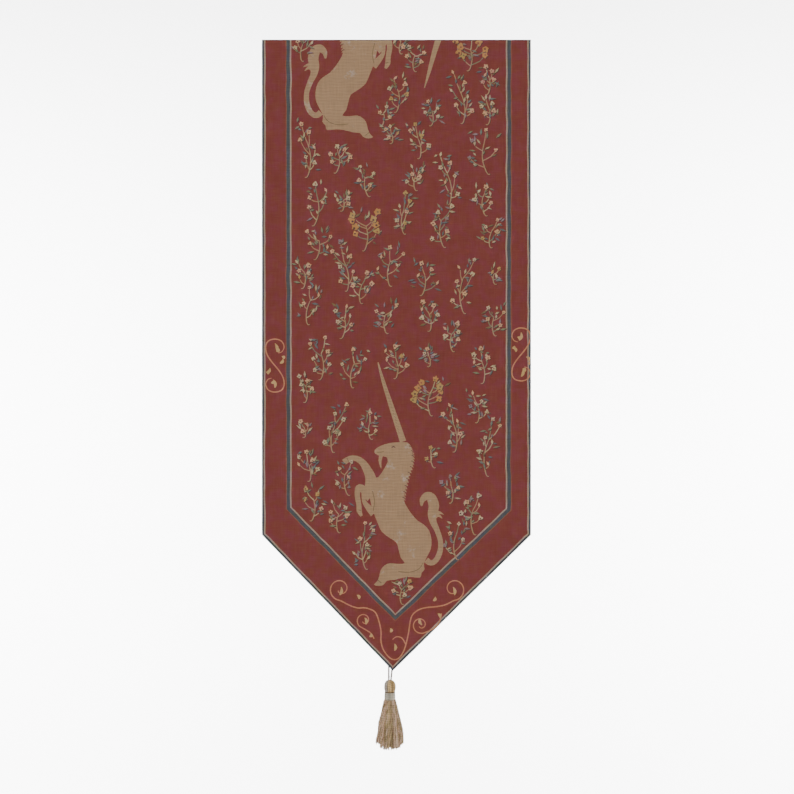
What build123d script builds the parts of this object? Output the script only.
"""A tapestry wall hanging: a narrow lined jacquard cloth with a pointed end and a tassel.

The cloth hangs on a flat wooden lath that is hidden in a sleeve on its back. Two drilled holes near the
lath's ends go over nails or hooks in the wall. The cloth is one woven piece with a lining felled to its
turned edges. It is made here as three stiff bodies, the header, the drop and the point, because a cloth
bends and a rigid body doesn't: each pair meets at a fold line. A cord loop is tacked to the back of the
tip and carries the tassel.

Frame: millimetres, +Z up, +X to the right as seen from the front, +Y towards the wall.
Origin: midway between the two hanger holes, on the lath's back face.
"""

import os
from math import atan2, degrees, hypot, radians, tan

from build123d import *

# ---- Driving sizes: the cloth ----
CLOTH_WIDTH = 350.0
STRAIGHT_LENGTH = 644.0  # top edge to the shoulders
POINT_DEPTH = 177.0  # shoulders to the tip
TIP_OFFSET = -4.7  # the tip sits a little left of the middle, as it was cut
FACE_THICKNESS = 1.2  # the woven cloth
TURNING_WIDTH = 14.0  # the cloth's edge, turned to the back
TURNING_THICKNESS = 1.1
LINING_THICKNESS = 0.5
LINING_INSET = 5.0  # the lining stops this far inside the folded edge
LINING_GAP = 0.1  # between the turning and the lining

# ---- Driving sizes: the lath and its sleeve ----
LATH_LENGTH = 330.0
LATH_HEIGHT = 24.0
LATH_THICKNESS = 5.0
LATH_EDGE_RADIUS = 1.5
HANGER_SPACING = 315.0
HANGER_HOLE_RADIUS = 2.5
TOP_ABOVE_LATH = 16.0  # the cloth's top edge stands this far above the lath
LATH_CLEARANCE = 0.3  # between the lath and the lining's stitches in front of it
SLEEVE_BACK_GAP = 0.4  # between the lath and the sleeve behind it
SLEEVE_LENGTH = 290.0
SLEEVE_THICKNESS = 0.5
SLEEVE_EASE = 1.4  # the tunnel is this much taller than the lath, each way
SLEEVE_SLOPE = 3.4  # how far the tunnel's walls lean out on their way to the lining
SLEEVE_FLANGE = 2.8  # the flat edge that is stitched down

# ---- Driving sizes: the fold lines ----
HEADER_FOLD_BELOW_SLEEVE = 7.0
POINT_FOLD_ABOVE_SHOULDER = 3.5
FOLD_GAP = 0.5

# ---- Driving sizes: stitches and label ----
FELL_PITCH = 9.0
FELL_LENGTH = 4.0
SLEEVE_STITCH_PITCH = 8.0
SLEEVE_STITCH_LENGTH = 2.2
THREAD_WIDTH = 0.5
THREAD_HEIGHT = 0.4
STITCH_SLANT = 25.0  # degrees off square to the edge
FELL_STOP_AT_TIP = 12.0  # no stitches this near the tip, where the loop comes out
LABEL_WIDTH = 34.0
LABEL_HEIGHT = 18.0
LABEL_THICKNESS = 0.2
LABEL_FROM_SIDE = 26.0
LABEL_ABOVE_FOLD = 40.0
LABEL_STITCH_INSET = 1.2
LABEL_STITCH_PITCH = 3.4
LABEL_STITCH_LENGTH = 2.2

# ---- Driving sizes: the tassel and its loop ----
CORD_DIAMETER = 2.6
LOOP_WIDTH = 5.9  # between the two legs, at the loop's top
LOOP_FOOT_WIDTH = 2.75  # between the two legs, where they meet the tassel
LOOP_GAP = 0.7  # between the cord and the lining, so that it swings over the stitches
TACK_ABOVE_TIP = 18.0
TACK_OFFSET = -2.3  # the tack is this far to the left of the tip
TACK_RADIUS = 0.9
TACK_CAP_RADIUS = 3.2
TACK_CAP_THICKNESS = 0.7
LOOP_BEND_ABOVE_TIP = 1.0  # where the legs start to lean forward, clear of the wall
TASSEL_BELOW_TIP = 13.2
TASSEL_OFFSET = -3.8  # the tassel hangs this far to the left of the tip
TASSEL_FORWARD = 5.2  # and this far in front of the cord's upper part
LOOP_FOOT_GAP = 0.8  # between the cord's ends and the top of the tassel
HEAD_RADIUS = 7.6
HEAD_HEIGHT = 13.2
HEAD_SLOPE_HEIGHT = 5.6
NECK_RADIUS = 5.4
NECK_WALL = 1.4  # the outer yarns are this thick at the neck
TIE_RADIUS = 6.9
TIE_HEIGHT = 1.8
WRAP_RADIUS = 7.4
WRAP_HEIGHT = 10.0
SKIRT_LENGTH = 65.0
SKIRT_WAIST_RADIUS = 8.4  # just below the wrap
SKIRT_WAIST_DROP = 4.0
SKIRT_HALF_WIDTH = 17.4  # the skirt's rim, side to side
SKIRT_HALF_DEPTH = 9.2  # and front to back, where the wall flattens it
SKIRT_WALL = 4.0
SKIRT_HEM_DROP = 5.0  # the inner yarns hang lower than the outer ones
YARN_GAP = 0.3  # between the outer and the inner yarns

# ---- Places that follow from those sizes ----
SLEEVE_CROWN_HALF = LATH_HEIGHT / 2 + SLEEVE_EASE
SLEEVE_FOOT_HALF = SLEEVE_CROWN_HALF + SLEEVE_SLOPE
SLEEVE_HALF = SLEEVE_FOOT_HALF + SLEEVE_FLANGE
CLOTH_TOP = LATH_HEIGHT / 2 + TOP_ABOVE_LATH
SHOULDER_Z = CLOTH_TOP - STRAIGHT_LENGTH
TIP_Z = SHOULDER_Z - POINT_DEPTH
HEADER_FOLD_Z = -SLEEVE_HALF - HEADER_FOLD_BELOW_SLEEVE
POINT_FOLD_Z = SHOULDER_Z + POINT_FOLD_ABOVE_SHOULDER
BELOW_ALL = TIP_Z - CLOTH_WIDTH
ABOVE_ALL = CLOTH_TOP + CLOTH_WIDTH

LINING_BACK_Y = -LATH_THICKNESS - LATH_CLEARANCE - THREAD_HEIGHT
LINING_FRONT_Y = LINING_BACK_Y - LINING_THICKNESS
TURNING_BACK_Y = LINING_FRONT_Y - LINING_GAP
FACE_BACK_Y = TURNING_BACK_Y - TURNING_THICKNESS
FACE_FRONT_Y = FACE_BACK_Y - FACE_THICKNESS

TACK_X = TIP_OFFSET + TACK_OFFSET
TACK_Z = TIP_Z + TACK_ABOVE_TIP
CORD_Y = LINING_BACK_Y + LOOP_GAP + CORD_DIAMETER / 2
TASSEL_X = TIP_OFFSET + TASSEL_OFFSET
TASSEL_Y = CORD_Y - TASSEL_FORWARD
HEAD_TOP_Z = TIP_Z - TASSEL_BELOW_TIP
LOOP_FOOT_Z = HEAD_TOP_Z + LOOP_FOOT_GAP
HEAD_BASE_Z = HEAD_TOP_Z - HEAD_HEIGHT
WRAP_TOP_Z = HEAD_BASE_Z - TIE_HEIGHT
SKIRT_TOP_Z = WRAP_TOP_Z - WRAP_HEIGHT
SKIRT_RIM_Z = SKIRT_TOP_Z - SKIRT_LENGTH + SKIRT_HEM_DROP
YARN_BORE = NECK_RADIUS - NECK_WALL


def block(x_low, x_high, y_low, y_high, z_low, z_high):
    """A box between two corners."""
    size = Box(x_high - x_low, y_high - y_low, z_high - z_low)
    return Pos((x_low + x_high) / 2, (y_low + y_high) / 2, (z_low + z_high) / 2) * size


def outline(inset=0.0):
    """The cloth's outline, taken in evenly by inset, as points in X and Z from the top left."""
    half = CLOTH_WIDTH / 2
    left_slope = (half + TIP_OFFSET) / POINT_DEPTH
    right_slope = (half - TIP_OFFSET) / POINT_DEPTH
    # A slanting edge that moves in by inset moves this far along X.
    left_rise = inset * hypot(1, left_slope)
    right_rise = inset * hypot(1, right_slope)
    depth = (CLOTH_WIDTH - left_rise - right_rise) / (left_slope + right_slope)
    tip_x = -half + left_rise + left_slope * depth
    left_shoulder = SHOULDER_Z - (inset - left_rise) / left_slope
    right_shoulder = SHOULDER_Z - (inset - right_rise) / right_slope
    return [
        (-half + inset, CLOTH_TOP - inset),
        (half - inset, CLOTH_TOP - inset),
        (half - inset, right_shoulder),
        (tip_x, SHOULDER_Z - depth),
        (-half + inset, left_shoulder),
    ]


def sheet(points, y_front, thickness):
    """A flat plate with that outline, its front at y_front."""
    wire = Polyline([Vector(x, y_front, z) for x, z in points], close=True)
    return extrude(Face(Wire(wire.edges())), amount=thickness, dir=(0, 1, 0))


def between(solid, z_low, z_high):
    """The stretch of a plate between two heights."""
    half = CLOTH_WIDTH
    return solid & block(-half, half, FACE_FRONT_Y - 1, LINING_BACK_Y + 1, z_low, z_high)


def face_cloth():
    """The woven cloth with its edge turned to the back all round."""
    plate = sheet(outline(), FACE_FRONT_Y, FACE_THICKNESS)
    border = sheet(outline(), FACE_BACK_Y, TURNING_THICKNESS)
    inside = sheet(outline(TURNING_WIDTH), FACE_BACK_Y, TURNING_THICKNESS)
    return plate + (border - inside)


def lining_cloth():
    """The lining, set in from the folded edge."""
    return sheet(outline(LINING_INSET), LINING_FRONT_Y, LINING_THICKNESS)


def lath():
    """The flat wooden lath with its two hanger holes."""
    half = LATH_LENGTH / 2
    slat = block(-half, half, -LATH_THICKNESS, 0, -LATH_HEIGHT / 2, LATH_HEIGHT / 2)
    slat = fillet(slat.edges().filter_by(Axis.X), LATH_EDGE_RADIUS)
    for side in (-1, 1):
        hole = Cylinder(HANGER_HOLE_RADIUS, 3 * LATH_THICKNESS, rotation=(90, 0, 0))
        slat -= Pos(side * HANGER_SPACING / 2, 0, 0) * hole
    return slat


def tunnel(y_back, crown_half, foot_half):
    """A solid with the tunnel's cross-section, from the lining to y_back."""
    half = SLEEVE_LENGTH / 2
    corners = [
        (LINING_BACK_Y, -foot_half),
        (y_back, -crown_half),
        (y_back, crown_half),
        (LINING_BACK_Y, foot_half),
    ]
    wire = Polyline([Vector(-half, y, z) for y, z in corners], close=True)
    return extrude(Face(Wire(wire.edges())), amount=SLEEVE_LENGTH, dir=(1, 0, 0))


def sleeve():
    """The strip of lining cloth that makes the lath's tunnel: a crown, two walls and two flanges."""
    inner = tunnel(SLEEVE_BACK_GAP, SLEEVE_CROWN_HALF, SLEEVE_FOOT_HALF)
    outer_back = SLEEVE_BACK_GAP + SLEEVE_THICKNESS
    outer = tunnel(
        outer_back, SLEEVE_CROWN_HALF + SLEEVE_THICKNESS, SLEEVE_FOOT_HALF + SLEEVE_THICKNESS
    )
    strip = outer - inner
    half = SLEEVE_LENGTH / 2
    flange_back = LINING_BACK_Y + SLEEVE_THICKNESS
    for low, high in ((SLEEVE_FOOT_HALF, SLEEVE_HALF), (-SLEEVE_HALF, -SLEEVE_FOOT_HALF)):
        strip += block(-half, half, LINING_BACK_Y, flange_back, low, high) - inner
    return strip


def stitch_row(start, end, y_front, pitch, length, slant=STITCH_SLANT):
    """Short slanting bars of thread along a line in X and Z, lying on the face at y_front."""
    run = hypot(end[0] - start[0], end[1] - start[1])
    count = max(1, int(run / pitch))
    along = degrees(atan2(end[1] - start[1], end[0] - start[0]))
    bars = []
    for i in range(count):
        share = (i + 0.5) / count
        x = start[0] + share * (end[0] - start[0])
        z = start[1] + share * (end[1] - start[1])
        bar = Box(length, THREAD_HEIGHT, THREAD_WIDTH)
        place = Pos(x, y_front + THREAD_HEIGHT / 2, z) * Rot(0, -(along + 90 - slant), 0)
        bars.append(place * bar)
    return bars


def at_height(start, end, z):
    """The point of a slanting or upright line at a height."""
    share = (z - start[1]) / (end[1] - start[1])
    return start[0] + share * (end[0] - start[0]), z


def fell_lines(z_low, z_high):
    """The stretches of the lining's edge between two heights that take stitches, by name."""
    top_left, top_right, right, tip, left = outline(LINING_INSET)
    margin = FELL_LENGTH / 2
    low, high = z_low + margin, z_high - margin
    run = hypot(right[0] - tip[0], right[1] - tip[1])
    tip_stop = tip[1] + FELL_STOP_AT_TIP * (right[1] - tip[1]) / run
    top = top_left[1] - FELL_LENGTH
    lines = {"top": ((top_left[0] + FELL_LENGTH, top_left[1]), (top_right[0] - FELL_LENGTH, top_right[1]))}
    for name, upper, lower, lowest in (
        ("left", top_left, left, left[1]),
        ("right", top_right, right, right[1]),
        ("left_slant", left, tip, tip_stop),
        ("right_slant", right, tip, tip_stop),
    ):
        start_z = min(high, top, upper[1] - margin)
        end_z = max(low, lowest)
        lines[name] = (at_height(upper, lower, start_z), at_height(upper, lower, end_z))
    return lines


def fell_stitches(names, z_low, z_high):
    """The stitches that hold the lining's edge to the turned cloth, between two heights."""
    lines = fell_lines(z_low, z_high)
    bars = []
    for name in names:
        bars += stitch_row(*lines[name], LINING_BACK_Y, FELL_PITCH, FELL_LENGTH)
    return Compound(children=bars)


def sleeve_stitches(side):
    """The row that holds the sleeve's upper flange, side 1, or its lower one, side -1."""
    half = SLEEVE_LENGTH / 2 - SLEEVE_STITCH_LENGTH
    z = side * (SLEEVE_HALF + SLEEVE_FOOT_HALF + SLEEVE_THICKNESS) / 2
    y_front = LINING_BACK_Y + SLEEVE_THICKNESS
    bars = stitch_row((-half, z), (half, z), y_front, SLEEVE_STITCH_PITCH, SLEEVE_STITCH_LENGTH)
    return Compound(children=bars)


def label_box():
    """The label's left, right, bottom and top."""
    left = CLOTH_WIDTH / 2 - LABEL_FROM_SIDE - LABEL_WIDTH
    bottom = POINT_FOLD_Z + LABEL_ABOVE_FOLD
    return left, left + LABEL_WIDTH, bottom, bottom + LABEL_HEIGHT


def label():
    """The blank care label, sewn flat to the lining."""
    left, right, bottom, top = label_box()
    return block(left, right, LINING_BACK_Y, LINING_BACK_Y + LABEL_THICKNESS, bottom, top)


def label_stitches():
    """A row of running stitches round the label, just inside its edge."""
    left, right, bottom, top = label_box()
    inset = LABEL_STITCH_INSET
    low_x, high_x = left + inset, right - inset
    low_z, high_z = bottom + inset, top - inset
    y_front = LINING_BACK_Y + LABEL_THICKNESS
    bars = []
    clear = LABEL_STITCH_LENGTH / 2
    for start, end in (
        ((low_x + clear, high_z), (high_x - clear, high_z)),
        ((low_x + clear, low_z), (high_x - clear, low_z)),
        ((low_x, low_z + clear), (low_x, high_z - clear)),
        ((high_x, low_z + clear), (high_x, high_z - clear)),
    ):
        bars += stitch_row(start, end, y_front, LABEL_STITCH_PITCH, LABEL_STITCH_LENGTH, 90)
    return Compound(children=bars)


def loop_points():
    """The cord's route: up one leg from the tassel, over the tack, and down the other leg."""
    foot = LOOP_FOOT_WIDTH / 2
    half = LOOP_WIDTH / 2
    middle = (foot + half) / 2
    top = TACK_Z + TACK_RADIUS + CORD_DIAMETER
    bend_z = TIP_Z + LOOP_BEND_ABOVE_TIP
    bend_x = (TASSEL_X + TACK_X) / 2
    return [
        (TASSEL_X - foot, TASSEL_Y, LOOP_FOOT_Z),
        (bend_x - middle, CORD_Y, bend_z),
        (TACK_X - half, CORD_Y, top),
        (TACK_X + half, CORD_Y, top),
        (bend_x + middle, CORD_Y, bend_z),
        (TASSEL_X + foot, TASSEL_Y, LOOP_FOOT_Z),
    ]


def bend_radii(points):
    """Each corner's radius: 0.45 of its shorter run over the tangent of half the turn."""
    radii = []
    for a, b, c in zip(points, points[1:], points[2:]):
        into = b - a
        out = c - b
        turn = radians(into.get_angle(out))
        radii.append(0.45 * min(into.length, out.length) / tan(turn / 2))
    return radii


def loop_cord():
    """The loop of twisted cord, as a plain tube."""
    points = [Vector(*point) for point in loop_points()]
    radii = bend_radii(points)
    path = FilletPolyline(points, radius=radii)
    section = Plane(origin=path @ 0, z_dir=path % 0) * Circle(CORD_DIAMETER / 2)
    tube = sweep(section, path=path)
    print("loop bend radii in mm:", [round(r, 2) for r in radii])
    print("loop length in mm:", round(path.length, 2))
    share = tube.volume / (section.area * path.length)
    print("loop volume over its section times its length:", round(share, 4))
    return tube


def tack():
    """The thread that holds the loop: a shank through the loop's eye and a cap of stitches over it."""
    shank_length = 2 * LOOP_GAP + CORD_DIAMETER
    shank = Cylinder(TACK_RADIUS, shank_length, rotation=(90, 0, 0))
    cap = Cylinder(TACK_CAP_RADIUS, TACK_CAP_THICKNESS, rotation=(90, 0, 0))
    shank_y = LINING_BACK_Y + shank_length / 2
    cap_y = LINING_BACK_Y + shank_length + TACK_CAP_THICKNESS / 2
    return Pos(TACK_X, shank_y, TACK_Z) * shank + Pos(TACK_X, cap_y, TACK_Z) * cap


def turned(profile):
    """A solid of revolution about the tassel's axis, from points of radius and height."""
    wire = Polyline([Vector(r, 0, z) for r, z in profile], close=True)
    return Pos(TASSEL_X, TASSEL_Y, 0) * revolve(Face(Wire(wire.edges())), Axis.Z)


def flared(stations):
    """A solid through level ellipses on the tassel's axis: half width, half depth and height of each."""
    rings = [
        Pos(TASSEL_X, TASSEL_Y, z) * Ellipse(half_width, half_depth)
        for half_width, half_depth, z in stations
    ]
    return loft(rings, ruled=True)


def head_and_neck():
    """The hollow head and the straight neck below it."""
    slope_z = HEAD_TOP_Z - HEAD_SLOPE_HEIGHT
    bore_top = slope_z - NECK_WALL
    return turned([
        (0, HEAD_TOP_Z),
        (0.62 * HEAD_RADIUS, HEAD_TOP_Z - 0.4 * HEAD_SLOPE_HEIGHT),
        (HEAD_RADIUS, slope_z),
        (HEAD_RADIUS, HEAD_BASE_Z + 0.2 * HEAD_HEIGHT),
        (NECK_RADIUS, HEAD_BASE_Z),
        (NECK_RADIUS, SKIRT_TOP_Z),
        (YARN_BORE, SKIRT_TOP_Z),
        (YARN_BORE, bore_top),
        (0, bore_top),
    ])


def skirt_shell():
    """The outer yarns below the wrap, flaring to a flattened rim."""
    waist_z = SKIRT_TOP_Z - SKIRT_WAIST_DROP
    outer = flared([
        (NECK_RADIUS, NECK_RADIUS, SKIRT_TOP_Z),
        (SKIRT_WAIST_RADIUS, SKIRT_WAIST_RADIUS, waist_z),
        (SKIRT_HALF_WIDTH, SKIRT_HALF_DEPTH, SKIRT_RIM_Z),
    ])
    inner = flared([
        (YARN_BORE, YARN_BORE, SKIRT_TOP_Z),
        (YARN_BORE, YARN_BORE, waist_z),
        (SKIRT_HALF_WIDTH - SKIRT_WALL, SKIRT_HALF_DEPTH - SKIRT_WALL, SKIRT_RIM_Z),
    ])
    return outer - inner


def inner_yarns():
    """The bound yarns inside the head and neck, and their ends inside the skirt."""
    bore = YARN_BORE - YARN_GAP
    top = HEAD_TOP_Z - HEAD_SLOPE_HEIGHT - NECK_WALL - YARN_GAP
    waist_z = SKIRT_TOP_Z - SKIRT_WAIST_DROP
    hem_width = SKIRT_HALF_WIDTH - SKIRT_WALL - YARN_GAP
    hem_depth = SKIRT_HALF_DEPTH - SKIRT_WALL - YARN_GAP
    hem_z = SKIRT_TOP_Z - SKIRT_LENGTH
    stem = flared([(bore, bore, top), (bore, bore, waist_z)])
    fan = flared([
        (bore, bore, waist_z),
        (hem_width, hem_depth, SKIRT_RIM_Z),
        (0.8 * hem_width, 0.8 * hem_depth, hem_z),
    ])
    return stem + fan


def ring(outer, z_top, z_bottom):
    """A band round the tassel's neck."""
    return turned([
        (NECK_RADIUS, z_top), (outer, z_top), (outer, z_bottom), (NECK_RADIUS, z_bottom)
    ])


def main():
    face, lining = face_cloth(), lining_cloth()
    half_gap = FOLD_GAP / 2
    header = (HEADER_FOLD_Z + half_gap, ABOVE_ALL)
    drop = (POINT_FOLD_Z + half_gap, HEADER_FOLD_Z - half_gap)
    point = (BELOW_ALL, POINT_FOLD_Z - half_gap)
    nodes = {
        "hanging_lath": lath(),
        "tapestry_header": between(face, *header),
        "tapestry_drop": between(face, *drop),
        "tapestry_point": between(face, *point),
        "lining_header": between(lining, *header),
        "lining_drop": between(lining, *drop),
        "lining_point": between(lining, *point),
        "lath_sleeve": sleeve(),
        "sleeve_stitches_upper": sleeve_stitches(1),
        "sleeve_stitches_lower": sleeve_stitches(-1),
        "fell_stitches_header": fell_stitches(("top", "left", "right"), *header),
        "fell_stitches_drop_left": fell_stitches(("left",), *drop),
        "fell_stitches_drop_right": fell_stitches(("right",), *drop),
        "fell_stitches_point": fell_stitches(("left_slant", "right_slant"), *point),
        "care_label": label(),
        "care_label_stitches": label_stitches(),
        "loop_tack": tack(),
        "tassel_loop": loop_cord(),
        "tassel_outer_yarns": head_and_neck() + skirt_shell(),
        "tassel_inner_yarns": inner_yarns(),
        "tassel_neck_tie": ring(TIE_RADIUS, HEAD_BASE_Z, WRAP_TOP_Z),
        "tassel_neck_wrap": ring(WRAP_RADIUS, WRAP_TOP_Z, SKIRT_TOP_Z),
    }
    os.makedirs("parts", exist_ok=True)
    for name, shape in nodes.items():
        export_step(shape, f"parts/{name}.step")
    print("header fold", HEADER_FOLD_Z, "point fold", POINT_FOLD_Z, "front face", FACE_FRONT_Y)
    print("tack", TACK_X, CORD_Y, TACK_Z, "loop foot", TASSEL_X, TASSEL_Y, LOOP_FOOT_Z)
    print("tip", TIP_Z, "skirt end", SKIRT_TOP_Z - SKIRT_LENGTH)


main()
